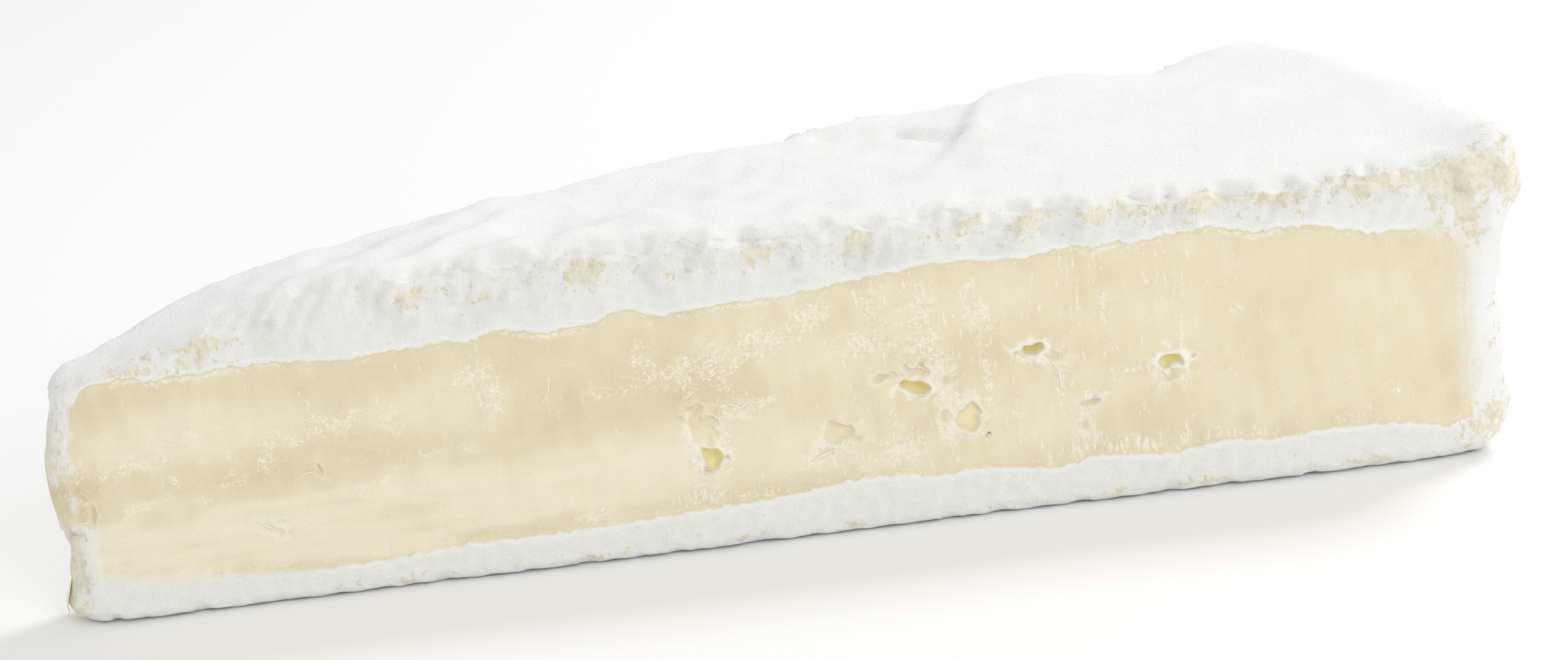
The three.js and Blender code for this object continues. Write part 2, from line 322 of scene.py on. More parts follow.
def along_and_up(cube_x, cube_z):
    along = np.interp(cube_x + 0.5, *zip(*ROWS_ALONG))
    up = np.interp(cube_z + 0.5, *zip(*ROWS_UP))
    return along, up, up * top_height(along, np.zeros_like(along)) / THICKNESS


def cube_points(block):
    block.verts.ensure_lookup_table()
    return np.array([vert.co for vert in block.verts]).T


# %% Finer cells round the eyes
def refine_near_eyes(block, margin):
    x, y, z = cube_points(block)
    along, _, height = along_and_up(x, z)
    near = np.zeros(len(x), bool)
    for face_y, eyes in ((-0.5, FRONT_EYES), (0.5, BACK_EYES)):
        for s0, z0, half_width, half_height, *_ in eyes:
            close = np.abs(along - s0) < half_width * 1.1 + margin
            close &= np.abs(height - z0) < half_height * 1.1 + margin
            near |= close & (np.abs(y - face_y) < 1e-4)
    block.verts.index_update()
    edges = [e for e in block.edges if near[e.verts[0].index] and near[e.verts[1].index]]
    bmesh.ops.subdivide_edges(block, edges=edges, cuts=1, use_grid_fill=True)


refine_near_eyes(wedge, 0.9)
refine_near_eyes(wedge, 0.3)
print("cells after refining:", len(wedge.faces))

# %% [markdown]
# ## The relief of each side
#
# A point of the cube knows which side it belongs to from the direction in which the rounded
# edge swings it out. Near the middle of a cut that direction is straight out of the cut, and
# round an edge it turns from one side to the other, so reliefs fade into each other.


# %% Relief of the cuts
def cut_relief(along, height, side, paste):
    """Relief of a cut face in millimetres, positive outwards, with the eyes' depth and lips."""
    in_paste = soft_step(paste, 0.0, 0.45 + 2.4 * soft_step(along, 166, 171))
    drag = 0.2 * np.sin(along / 11 + height / 9) + 0.12 * np.sin(along / 3.4 - height / 21)
    streaks = 0.05 * swells([along, height * 0.07], 0.8, 21)
    level = 0.10 * swells([along * 0.1, height], 1.3, 22) * (1 - soft_step(along, 60, 80))
    level = level * (1 - soft_step(height, 12, 17))
    smooth = streaks + level + 0.10 * swells([along, height], 3.0, 23)
    at_top = soft_step(height, 27.7, 33.7) * (0.5 + 0.5 * soft_step(along, 48, 72))
    folds = 0.22 * np.sin(along / 2.9 + 1.5 * np.sin(along / 13)) * at_top
    folds = folds + 0.65 * swells([along, height * 0.45], 2.3, 24) * at_top
    folds = folds + (0.14 + 0.18 * at_top) * swells([along, height], 1.1, 25) - 0.35 * at_top
    corner = soft_step(along, 169, 175) * soft_step(height, 21, 27)
    slant = 1.5 * along + 0.45 * height + swells([along, height], 3, 26)
    folds = folds + 0.45 * np.sin(slant) * corner
    rind = folds * soft_step(-paste, 0, 1.5)
    depth, lip = eye_relief(along, height, side)
    relief = drag + rind - 0.4 * in_paste + smooth * in_paste + 0.13 * lip * in_paste
    return relief - depth * in_paste, depth * in_paste, lip * in_paste


# %% Relief of the rim and of the tip
def rim_relief(angle, height):
    lip = 3.9 * soft_step(height, 19, 30.5)
    foot = 0.9 * mound(height - 6, 4.5)
    turn = angle * WHEEL_RADIUS
    folds = 0.45 * np.sin(turn / 3.9 + height / 8) + 0.3 * np.sin(turn / 1.9 - height / 5)
    folds = folds + 0.55 * swells([turn, height * 0.6], 1.9, 31) - 0.2
    wear = 1 - 0.6 * soft_step(angle / CUT_ANGLE, 0.3, 1)
    return lip * wear + foot + folds * soft_step(height, 2, 10)


def tip_relief(across, height):
    belly = 1.3 * mound(height - 16, 6.5)
    shoulder = -0.6 * mound(height - 25, 2.5)
    torn = 10.6 + 0.5 * np.sin(across * 1.7)
    step = -0.4 * (1 - soft_step(height, torn - 0.25, torn + 0.25))
    slit = -0.9 * mound(height - torn, 0.35)
    foot = 1.8 * mound(height - 1, 4)
    wrinkles = 0.30 * swells([across, height * 0.3], 0.9, 32) * (1.3 - soft_step(height, 9, 12))
    return belly + shoulder + step + slit + foot + wrinkles


# %% Every point of the cube to its place on the wedge
def place_on_wedge(x, y, z):
    along, up, height = along_and_up(x, z)
    width = along * CUT_ANGLE
    edge = np.minimum(TOP_ROUND, width * 0.45)
    share = y + 0.5
    across = np.where(
        share < EDGE_ROWS,
        edge * share / EDGE_ROWS - width / 2,
        np.where(
            share > 1 - EDGE_ROWS,
            width / 2 - edge * (1 - share) / EDGE_ROWS,
            (share - 0.5) / (0.5 - EDGE_ROWS) * (width / 2 - edge),
        ),
    )
    base_round = BASE_ROUND + 1.4 * mound(along - TIP_RADIUS, 4)
    base_round = base_round + 1.9 * mound(along - WHEEL_RADIUS, 6)
    rounding = base_round + (TOP_ROUND - base_round) * soft_step(up, 0, THICKNESS)
    core = np.stack(
        [
            np.clip(along, TIP_RADIUS + rounding, WHEEL_RADIUS - rounding),
            np.minimum(np.maximum(across, rounding - width / 2), width / 2 - rounding),
            np.clip(up, rounding, THICKNESS - rounding),
        ]
    )
    outward = np.stack([along, across, up]) - core
    outward /= np.maximum(np.linalg.norm(outward, axis=0), 1e-9)
    point = core + outward * rounding

    side = (outward[1] > 0).astype(float)
    on_cut = np.abs(outward[1])
    angle = CUT_ANGLE * (0.5 + np.clip(point[1] / width, -0.5, 0.5))
    paste = paste_distance(along, height, side)
    cut, depth, lip = cut_relief(along, height, side, paste)
    rim = rim_relief(angle, height) * np.maximum(outward[0], 0)
    tip = tip_relief(across, height) * np.maximum(-outward[0], 0)

    radius = point[0] + rim - tip
    turn = point[1] / along + CUT_ANGLE / 2
    out = cut * on_cut * np.sign(outward[1])
    px = radius * np.cos(turn) - np.sin(turn) * out
    py = radius * np.sin(turn) + np.cos(turn) * out
    pz = point[2] / THICKNESS * top_height(px, py)
    facts = {
        "along": along,
        "height": height,
        "across": across,
        "side": side,
        "on_cut": on_cut,
        "on_rim": np.maximum(outward[0], 0),
        "on_tip": np.maximum(-outward[0], 0),
        "on_top": np.maximum(outward[2], 0),
        "paste": paste,
        "eye": depth * on_cut,
        "lip": lip * on_cut,
    }
    return np.stack([px, py, pz]), facts


cube = cube_points(wedge)
places, facts = place_on_wedge(*cube)
print("wedge in mm:", np.round(places.max(axis=1) - places.min(axis=1), 1))

# %% [markdown]
# ## Fine relief of the top and the underside
#
# The mould felt on top is soft, with ripples from the tip to the middle. The knife presses
# the upper edge of a cut down in small lumps and leaves nicks in the lower one. The underside
# lay on a mat, so it carries the print of its slats. These reliefs go mostly inwards from the
# solid's surface, so the wedge keeps its size.

# %% Ripples on top, pressed edges and mat lines below
x_mm, y_mm, z_mm = places
ripples = 0.24 * np.sin((x_mm * 0.75 - y_mm) / 1.5 + 0.8 * np.sin(x_mm / 9)) * mound(x_mm - 52, 20)
felt = 0.12 * swells([x_mm, y_mm], 2.6, 41) + 0.30 * swells([x_mm * 0.7, y_mm], 7.0, 42)
felt = felt * (1 - 0.6 * soft_step(x_mm, 122, 140))
places[2] += (ripples + felt - 0.35) * facts["on_top"]

nicks = np.clip(swells([x_mm, 80 * facts["side"]], 1.9, 43), 0, 1) * facts["on_cut"]
places[2] += 0.7 * nicks * np.clip(1 - z_mm / 2.2, 0, 1) * (facts["on_cut"] < 0.98)

crest = 4 * facts["on_cut"] ** 2 * facts["on_top"] ** 2
lumps = 0.5 + 0.4 * swells([x_mm, y_mm * 0.4, 40 * facts["side"]], 1.5, 63)
lumps = lumps + 0.4 * swells([x_mm, 40 * facts["side"]], 4.0, 64)
places[2] -= 0.60 * crest * lumps * soft_step(x_mm, 48, 76)

mat_pitch = 4.2
mat = 0.5 + 0.5 * np.cos(2 * math.pi * (x_mm * 0.96 + y_mm * 0.28) / mat_pitch)
under = np.clip(1 - z_mm / 0.4, 0, 1) * soft_step(x_mm, 20, 24)
places[2] += 0.22 * mat * under

# %% [markdown]
# ## Numbers for the colours
#
# The look of each spot depends on where it is: paste or rind, bare of mould or furry, dry or
# moist, and how much shade is painted on it. Those are stored on the points as plain numbers,
# and the material reads them. The back cut takes the smears of the front one in reverse order,
# a little weaker.


# %% Where the paste shows, and how soft its edge is
def paste_numbers(f):
    along, height = f["along"], f["height"]
    on_tip = soft_step(f["on_tip"], 0.3, 0.8)
    stripes = swells([f["across"], height * 0.3], 1.1, 61)
    tip_paste = np.minimum(19.0 - height, height - 11.2) - 1.2 + 1.2 * stripes
    paste = np.where(f["on_cut"] > 0.55, f["paste"], -3)
    paste = paste * (1 - on_tip) + np.clip(tip_paste, -3, 1) * on_tip
    edge = 0.07 + 1.9 * soft_step(along, 169, 173) * soft_step(height, 5, 9)
    edge = edge + 0.8 * mound(along - 32, 14) * (height < 12) + 0.7 * mound(along - 20, 3.5)
    return {"paste": paste, "edge": edge}


# %% White smears that the knife left, with their places on the front cut
SMEARS = [
    (27.6, 13.0, 2.6, 0.7, 10, 0.8), (28.0, 18.2, 4.2, 1.0, 12, 0.9),
    (31.3, 15.6, 1.6, 0.8, -40, 0.9), (34.0, 21.0, 4.0, 1.2, 8, 0.4),
    (34.3, 13.0, 1.6, 0.6, 0, 0.9), (37.9, 14.9, 2.6, 0.9, 8, 0.7),
    (41.6, 8.9, 2.2, 1.4, -20, 1.2), (42.0, 16.3, 1.2, 0.8, 0, 0.7),
    (43.0, 18.5, 4.0, 1.4, 12, 0.5), (47.3, 22.3, 1.0, 2.2, 0, 0.7),
    (51.6, 20.4, 4.2, 1.2, 18, 0.8), (52.0, 11.6, 2.0, 0.7, -30, 0.7),
    (52.1, 15.5, 2.2, 0.7, 5, 0.8), (54.7, 13.2, 2.6, 0.8, 10, 0.6),
    (56.3, 18.5, 1.6, 0.8, -40, 0.9), (58.8, 15.3, 2.0, 0.8, 0, 0.8),
    (63.8, 15.3, 1.5, 0.8, 0, 0.8), (65.7, 23.4, 2.2, 1.5, 10, 0.9),
    (66.9, 21.4, 1.6, 2.6, 0, 0.8), (73.1, 8.5, 1.4, 0.5, 0, 0.8),
    (73.4, 20.6, 0.7, 2.0, 0, 0.5), (76.6, 5.8, 2.4, 0.6, 8, 1.4),
    (80.5, 19.6, 4.0, 0.9, 8, 0.45), (83.7, 22.9, 1.2, 2.6, 0, 0.6),
    (88.4, 13.2, 0.7, 3.8, 2, 1.8), (88.8, 20.9, 5.2, 1.6, 14, 0.8),
    (88.9, 6.4, 3.2, 0.9, 5, 1.3), (90.2, 9.1, 2.0, 0.6, 0, 1.5),
    (91.9, 13.0, 0.8, 2.4, 0, 1.3), (92.6, 19.2, 1.0, 1.8, 25, 1.0),
    (93.7, 16.0, 2.2, 1.4, -20, 1.3), (95.0, 5.9, 3.0, 0.6, 5, 0.9),
    (96.7, 16.4, 1.8, 0.5, -5, 1.2), (97.0, 23.0, 3.4, 2.0, 10, 0.7),
    (102.3, 25.3, 2.2, 2.0, 0, 0.9), (102.7, 9.3, 2.8, 1.1, 15, 1.5),
    (104.0, 13.0, 1.8, 0.5, 0, 1.0), (106.5, 8.0, 2.0, 0.8, 0, 1.0),
    (107.3, 21.2, 2.0, 1.8, 0, 0.8), (109.4, 25.7, 1.2, 2.4, 0, 0.9),
    (110.8, 12.1, 0.5, 2.2, 0, 1.2), (111.9, 8.6, 2.6, 1.8, 0, 1.4),
    (113.0, 21.0, 3.0, 1.4, 0, 0.6), (114.6, 24.9, 1.6, 3.6, 0, 1.1),
    (116.5, 17.6, 1.4, 2.2, 0, 1.9), (116.6, 14.0, 0.9, 2.8, -5, 2.0),
    (117.2, 11.0, 1.2, 2.2, -15, 2.0), (119.0, 13.7, 1.8, 0.6, -10, 1.6),
    (119.6, 10.0, 1.2, 0.9, 0, 1.2), (120.9, 23.7, 1.5, 3.8, 8, 1.1),
    (121.5, 15.4, 0.5, 3.2, 0, 1.0), (124.4, 12.4, 0.5, 1.8, 0, 1.1),
    (126.6, 17.5, 1.9, 0.5, 0, 1.4), (128.9, 17.1, 1.9, 0.6, -20, 1.6),
    (129.4, 14.6, 0.5, 2.2, -5, 1.5), (131.5, 8.2, 1.8, 0.7, 0, 1.7),
    (131.9, 10.6, 0.9, 2.2, 0, 1.4), (133.0, 12.4, 1.6, 0.4, 10, 1.5),
    (134.7, 22.6, 0.5, 3.2, 0, 0.9), (137.6, 15.2, 1.6, 0.35, 0, 1.2),
    (140.4, 13.6, 1.0, 1.4, 20, 1.7), (143.0, 14.2, 0.8, 1.6, 0, 1.5),
    (143.1, 18.8, 0.5, 2.6, 0, 1.0), (150.5, 21.0, 2.0, 1.0, 20, 0.5),
    (153.0, 10.0, 1.6, 1.6, 0, 0.5), (158.0, 11.0, 2.4, 1.2, 0, 0.5),
    (166.0, 9.0, 2.4, 1.4, 0, 0.5),
]
BEADED = [(35.0, 11), (74.5, 5), (97.0, 6), (135.0, 3), (151.5, 5)]
TOOTHED = [(131.0, 4), (138.0, 4), (149.5, 5), (161.5, 3.5), (88.0, 2)]


def smears(along, height):
    total = np.zeros_like(along)
    for s0, z0, length, width, turn, strength in SMEARS:
        c, s = math.cos(math.radians(turn)), math.sin(math.radians(turn))
        dx, dz = along - s0, height - z0
        streak = mound((dx * c + dz * s) / length, 1) * mound((dz * c - dx * s) / width, 1)
        total += strength * streak
    return total


# %% How tan, dry or yellow the paste is, with painted shade at the tip's rounded corner
def paste_tones(f):
    along, height, back = f["along"], f["height"], 60 * f["side"]
    front = 1 - f["side"]
    left = 1 - soft_step(along, 62, 100)
    calmer = 1 - 0.4 * soft_step(along, 120, 145)
    tan_and_shade = 0.54 + 0.16 * calmer * swells([along * 0.45, height, back], 3.6, 51)
    tan_and_shade = tan_and_shade + 0.08 * swells([along, height, back], 1.5, 52)
    tan_and_shade = tan_and_shade - 0.62 * mound(height - 8.0, 4.5) * left + 0.40 * mound(height - 15.0, 2.6) * left
    tan_and_shade = tan_and_shade + 0.20 * mound(height - 25.5, 1.8) * left - 0.25 * mound(height - 20.5, 2.6) * left
    tan_and_shade = tan_and_shade + 0.28 * left * swells([along * 0.12, height, back], 0.9, 56) * mound(height - 8, 6)
    tan_and_shade = tan_and_shade + 0.60 * mound(height - 21.0, 2.4) * mound(along - 78, 7)
    tan_and_shade = tan_and_shade - 0.28 * mound(height - 12.5, 3.0) * mound(along - 70, 34)
    tan_and_shade = tan_and_shade + 0.40 * mound(height - 6.0, 1.2) * mound(along - 86, 18)
    tan_and_shade = tan_and_shade - 0.35 * mound(height - 16.0, 4.0) * mound(along - 24, 5)
    tan_and_shade = tan_and_shade + 0.35 * mound(height - 18.0, 2.5) * mound(along - 84, 22)
    tan_and_shade = tan_and_shade - 0.25 * mound(height - 9.0, 4.0) * mound(along - 92, 22)
    # painted shade: the paste is made tan where it turns round the tip's rounded corner
    tan_and_shade = tan_and_shade + 0.2 * mound(along - 21, 2.4)
    tan_and_shade = tan_and_shade + 0.6 * mound(along - 21.6, 2.0) * mound(height - 15, 4)
    rising = height - (14.5 + 0.085 * along)
    dry = 0.16 * swells([along, height * 1.4, back], 1.8, 53)
    dry = dry + 0.12 * swells([along, height, back], 0.9, 54)
    dry = dry + 0.22 * mound(rising, 2.6) * (1 - soft_step(along, 88, 112))
    dry = dry + 0.20 * mound(height - 23.5, 4.5) * mound(along - 110, 24)
    dry = dry + front * smears(along, height)
    reversed_along = WHEEL_RADIUS + 14.3 - along
    dry = dry + (1 - front) * smears(reversed_along, height + 0.5) * 0.8
    top, foot = paste_edges(along, f["side"])
    toothed = sum(mound(along - place, reach) for place, reach in TOOTHED)
    upright = 0.6 * soft_step(along, 90, 104) * (1 - soft_step(along, 142, 156))
    upright = upright + 1.8 * toothed * mound(height - foot - 1.0, 1.0)
    beads = sum(mound(along - place, reach) for place, reach in BEADED)
    beads = beads * soft_step(height, 12, 18)
    return {
        "tan_and_shade": tan_and_shade,
        "dry": dry,
        "upright": upright,
        "beads": beads,
        "eye": f["eye"],
        "lip": f["lip"],
    }


# %% Where the rind is bare of mould, and where shade is painted on it
def rind_numbers(f):
    along, height, on_cut = f["along"], f["height"], f["on_cut"]
    crest = height - 27.5
    off_top = 1 - f["on_top"]
    blobs = swells([along, height * 1.2, 60 * f["side"]], 2.4, 55)
    patchy = 0.35 + 1.0 * soft_step(blobs + 0.3 * swells([along, height], 1.0, 58), 0.0, 1.2)
    bare_and_shade = 1.4 * mound(crest - 6.0, 2.0) * soft_step(along, 44, 62) * patchy
    bare_and_shade = bare_and_shade + 0.60 * mound(crest - 5.4, 2.8) * soft_step(along, 122, 152) * (0.6 + patchy)
    # painted shade: this beige on the band's left below the crest is partly bare rind and partly
    # stands in for the shade there
    bare_and_shade = bare_and_shade + 1.0 * mound(crest - 2.0, 1.8) * mound(along - 34, 13) * patchy
    bare_and_shade = bare_and_shade + 1.3 * mound(crest - 3.4, 1.1) * mound(along - 36, 5)
    bare_and_shade = bare_and_shade + 1.1 * mound(crest - 1.0, 0.7) * mound(along - 31, 6)
    bare_and_shade = bare_and_shade * on_cut
    stripe = 0.8 + 0.5 * np.sin(1.9 * along + 0.5 * height)
    worn = swells([f["across"], height * 0.7], 2.6, 59)
    stripe = stripe * (1 - f["on_rim"] * soft_step(worn, -0.6, 0.6))
    upper = soft_step(height + 2.5 * worn * f["on_rim"], 22, 27)
    bare_and_shade = bare_and_shade + 1.5 * soft_step(along, 168.0, 175) * upper * off_top * stripe
    foot_line = mound(height - 1.0, 0.9) * soft_step(along, 34, 60) * (1 - f["on_rim"])
    bare_and_shade = bare_and_shade + 1.0 * foot_line * patchy
    bare_and_shade = bare_and_shade + 1.4 * soft_step(along, 170.5, 176) * mound(height - 3.6, 2.8) * on_cut
    bare_and_shade = bare_and_shade + 1.0 * f["on_rim"] * (0.4 + 0.6 * mound(height - 5, 5)) * patchy
    bare_and_shade = bare_and_shade + 1.6 * f["on_tip"] * (0.7 + patchy) * (1 - 0.6 * soft_step(height, 20, 26))
    # painted shade: soft grey patches on the cut-face rind below the crest stand in for the shade
    # of its folds
    grey = swells([along, height * 0.7, 60 * f["side"]], 2.6, 57)
    grey = grey + 0.5 * swells([along, height], 1.2, 60)
    shade = soft_step(grey, -0.2, 1.5) * mound(crest - 4.0, 4.0) * on_cut
    return {"bare_and_shade": bare_and_shade, "cut": on_cut * (1 - f["on_rim"]), "shade": shade}


# %% The finished mesh
def to_part_frame(mm):
    moved = mm - np.array([BOX_MIDDLE[0], BOX_MIDDLE[1], 0])[:, None]
    low, high = np.array(cad_low) + 2e-5, np.array(cad_high) - 2e-5
    return np.clip(moved * 0.001, low[:, None], high[:, None])


def make_object(name, block):
    block.normal_update()
    mesh = bpy.data.meshes.new(name)
    block.to_mesh(mesh)
    block.free()
    mesh.shade_smooth()
    made = bpy.data.objects.new(name, mesh)
    bpy.context.scene.collection.objects.link(made)
    return made


brie = make_object("brie", wedge)
brie.data.vertices.foreach_set("co", to_part_frame(places).T.ravel())
numbers = paste_numbers(facts) | paste_tones(facts) | rind_numbers(facts)
for name, values in numbers.items():
    stored = brie.data.attributes.new(name, "FLOAT", "POINT")
    stored.data.foreach_set("value", values.astype(np.float32))
brie.data.update()
triangles = sum(len(face.vertices) - 2 for face in brie.data.polygons)
print("brie:", triangles, "triangles")

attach(brie, "root")
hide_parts("brie_wedge")

# %% [markdown]
# ## A small kit for materials
#
# A material is a graph of nodes. These helpers add one node each and return its output, so a
# pattern reads like a formula. Positions come in millimetres, from the object's own
# coordinates, so the pattern stays put in every view.


# %% Node helpers
def rgb(red, green, blue):
    """A colour from the usual 0 to 255 values, turned to the linear values that nodes use."""

    def linear(value):
        value /= 255
        return value / 12.92 if value <= 0.04045 else ((value + 0.055) / 1.055) ** 2.4

    return (linear(red), linear(green), linear(blue), 1)


class Graph:
    def __init__(self, name):
        self.material = bpy.data.materials.new(name)
        self.material.use_nodes = True
        self.tree = self.material.node_tree
        self.shader = self.tree.nodes["Principled BSDF"]
        self.place = self.tree.nodes.new("ShaderNodeTexCoord").outputs["Object"]

    def put(self, socket, value):
        if isinstance(value, bpy.types.NodeSocket):
            self.tree.links.new(value, socket)
        else:
            socket.default_value = value

    def math(self, operation, first, second=0.0, third=0.0, clamp=False):
        node = self.tree.nodes.new("ShaderNodeMath")
        node.operation = operation
        node.use_clamp = clamp
        for socket, value in zip(node.inputs, (first, second, third)):
            self.put(socket, value)
        return node.outputs[0]

    def stored(self, name):
        node = self.tree.nodes.new("ShaderNodeAttribute")
        node.attribute_name = name
        return node.outputs["Fac"]

    def noise(self, size, detail=3.0, rough=0.55, stretch=(1, 1, 1), shift=0.0):
        """Noise from 0 to 1 whose swells are about `size` millimetres wide."""
        mapping = self.tree.nodes.new("ShaderNodeMapping")
        mapping.inputs["Location"].default_value = (shift, shift * 0.7, shift * 1.3)
        mapping.inputs["Scale"].default_value = [1000 / (size * s) for s in stretch]
        self.put(mapping.inputs["Vector"], self.place)
        node = self.tree.nodes.new("ShaderNodeTexNoise")
        node.inputs["Scale"].default_value = 1.0
        node.inputs["Detail"].default_value = detail
        node.inputs["Roughness"].default_value = rough
        self.put(node.inputs["Vector"], mapping.outputs[0])
        return node.outputs["Fac"]

    def step(self, value, start, end):
        node = self.tree.nodes.new("ShaderNodeMapRange")
        node.interpolation_type = "SMOOTHSTEP"
        node.inputs["From Min"].default_value = start
        node.inputs["From Max"].default_value = end
        self.put(node.inputs["Value"], value)
        return node.outputs[0]

    def mix(self, share, first, second):
        node = self.tree.nodes.new("ShaderNodeMix")
        node.data_type = "RGBA"
        self.put(node.inputs["Factor"], share)
        self.put(node.inputs[6], first)
        self.put(node.inputs[7], second)
        return node.outputs[2]

    def sum(self, *terms):
        total = terms[0]
        for term in terms[1:]:
            total = self.math("ADD", total, term)
        return total

    def times(self, *factors):
        product = factors[0]
        for factor in factors[1:]:
            product = self.math("MULTIPLY", product, factor)
        return product

    def less(self, value):
        return self.math("SUBTRACT", 1.0, value, clamp=True)


# %% [markdown]
# ## Rind, paste and what lies between
#
# One material covers the whole cheese, because rind and paste meet inside the surface and not
# at a seam. The stored distance to the paste's edge decides between them, after a little
# noise has frayed it. The mould is white felt with bare beige spots under the shoulder, some of
# them painted shade, and the rind on the cuts is painted greyer as shade. The paste is
# cream-coloured, mottled, smeared white where the knife dragged it, and a deeper yellow inside
# the eyes. It is painted tan as shade where it turns round the tip, and partly along its edge.

# %% Edge between rind and paste
cheese = Graph("soft white-rind cheese")
fray = cheese.times(cheese.math("SUBTRACT", cheese.noise(1.0, 3, 0.7), 0.5), 0.7)
edge_mm = cheese.math("ADD", cheese.stored("paste"), fray)
edge_share = cheese.math("DIVIDE", edge_mm, cheese.stored("edge"))
is_paste = cheese.step(edge_share, -1, 1)
crisp = cheese.less(cheese.step(cheese.stored("edge"), 0.15, 0.6))

# %% Colour of the paste
paste_colour = cheese.mix(cheese.stored("tan_and_shade"), rgb(244, 238, 214), rgb(228, 217, 184))
# deeper tan, which at the tip's rounded corner is painted shade
deeper_tan_and_shade = cheese.step(cheese.stored("tan_and_shade"), 0.9, 1.7)
paste_colour = cheese.mix(deeper_tan_and_shade, paste_colour, rgb(218, 203, 166))

# %% White smears, torn flecks and strands on the paste
dry = cheese.stored("dry")
fleck = cheese.noise(0.45, 4, 0.8, stretch=(1.2, 1, 1), shift=2)
smeared = cheese.step(cheese.sum(fleck, cheese.times(dry, 0.14)), 0.60, 0.76)
strand_noise = cheese.noise(1.1, 2, 0.6, shift=12)
strand_reach = cheese.math("ABSOLUTE", cheese.math("SUBTRACT", strand_noise, 0.5))
strand = cheese.times(
    cheese.less(cheese.step(strand_reach, 0.008, 0.032)), cheese.step(dry, 0.30, 0.7)
)
streak = cheese.noise(0.5, 3, 0.7, stretch=(0.7, 1, 4.0), shift=6)
streak_level = cheese.sum(
    streak, cheese.times(dry, 0.06), cheese.times(cheese.stored("upright"), 0.08)
)
streaked = cheese.step(streak_level, 0.66, 0.74)
below_edge = cheese.times(
    cheese.step(edge_mm, 0.15, 0.30),
    cheese.less(cheese.step(edge_mm, 0.4, 1.2)),
    cheese.step(cheese.sum(fleck, cheese.times(cheese.stored("beads"), 0.14)), 0.56, 0.64),
)
torn = cheese.math("MAXIMUM", cheese.times(smeared, 0.55), cheese.times(streaked, 0.8))
torn = cheese.math("MAXIMUM", torn, cheese.times(below_edge, 0.9))
torn = cheese.math("MAXIMUM", torn, cheese.times(strand, 0.85))
torn = cheese.times(torn, cheese.less(cheese.step(cheese.stored("eye"), 0.08, 0.35)))
lips = cheese.times(cheese.stored("lip"), cheese.step(fleck, 0.25, 0.45))
torn = cheese.math("MAXIMUM", torn, lips)
paste_colour = cheese.mix(torn, paste_colour, rgb(252, 248, 234))

# %% Yellow inside the eyes, and a tan line at the paste's edge that is partly painted shade
paste_colour = cheese.mix(
    cheese.step(cheese.stored("eye"), 0.35, 1.2), paste_colour, rgb(255, 243, 190)
)
# partly painted shade: a thin tan line on the paste along its edge, its own tone and the shade
# beside the rind's proud edge
edge_tan_and_shade = cheese.times(
    cheese.step(edge_mm, -0.05, 0.10), cheese.less(cheese.step(edge_mm, 0.15, 0.55)), crisp
)
edge_tan_and_shade_strength = cheese.times(edge_tan_and_shade, cheese.step(fleck, 0.35, 0.75))
paste_colour = cheese.mix(cheese.times(edge_tan_and_shade_strength, 0.6), paste_colour, rgb(223, 209, 166))

# %% Colours of the rind
crumb = cheese.noise(0.9, 5, 0.78, stretch=(1, 1, 1.3), shift=21)
# partly painted shade: the rind on the cuts is mottled by its grain, and its darker level than the
# top is painted shade for its upright faces
shaded_cut_rind = cheese.mix(crumb, rgb(230, 230, 226), rgb(246, 246, 243))
rind_colour = cheese.mix(cheese.stored("cut"), rgb(242, 242, 241), shaded_cut_rind)
# painted shade: the rind is greyed where the stored shade is high, for the shade in its folds
painted_fold_shade = cheese.times(cheese.stored("shade"), 0.4)
rind_colour = cheese.mix(painted_fold_shade, rind_colour, rgb(215, 215, 211))
rolled_edge = cheese.times(
    cheese.step(edge_mm, -0.8, -0.3), cheese.less(cheese.step(edge_mm, -0.15, 0.0)), crisp
)
rind_colour = cheese.mix(cheese.times(rolled_edge, 0.5), rind_colour, rgb(246, 246, 243))
bare_and_shade_level = cheese.sum(crumb, cheese.times(cheese.stored("bare_and_shade"), 0.15))
bare_and_shade = cheese.step(bare_and_shade_level, 0.63, 0.69)
beige = cheese.mix(cheese.step(crumb, 0.42, 0.66), rgb(237, 233, 214), rgb(218, 210, 183))
rind_colour = cheese.mix(cheese.times(bare_and_shade, 0.85), rind_colour, beige)

# %% Relief finer than the cells
felt = cheese.noise(0.4, 2, 0.65, shift=31)
on_paste = cheese.step(cheese.stored("paste"), -0.1, 0.3)
relief = cheese.sum(
    cheese.times(cheese.sum(felt, crumb), cheese.less(on_paste), 0.14),
    cheese.times(fleck, on_paste, 0.14),
)
bump = cheese.tree.nodes.new("ShaderNodeBump")
bump.inputs["Strength"].default_value = 1.0
bump.inputs["Distance"].default_value = 0.001
cheese.put(bump.inputs["Height"], relief)

# %% The shader
shader = cheese.shader.inputs
cheese.put(shader["Base Color"], cheese.mix(is_paste, rind_colour, paste_colour))
moist = cheese.less(cheese.times(is_paste, cheese.math("SUBTRACT", 0.48, cheese.times(torn, 0.3))))
cheese.put(shader["Roughness"], moist)
cheese.put(shader["Normal"], bump.outputs[0])
shader["IOR"].default_value = 1.42
shader["Subsurface Weight"].default_value = 0.35
shader["Subsurface Radius"].default_value = (1.0, 0.8, 0.5)
shader["Subsurface Scale"].default_value = 0.002
brie.data.materials.append(cheese.material)

# %% [markdown]
# ## Torn curls
#
# A soft cheese sticks to the knife, and the blade pulls up tiny curls: along the paste's
# edge, round the eyes and where the cut is dry. Each curl is a small bar that tapers to both
# ends and lies along the cut. A few long ones are listed, and the rest are scattered
# with a fixed seed. The curl that hangs at the foot of the tip is the largest.


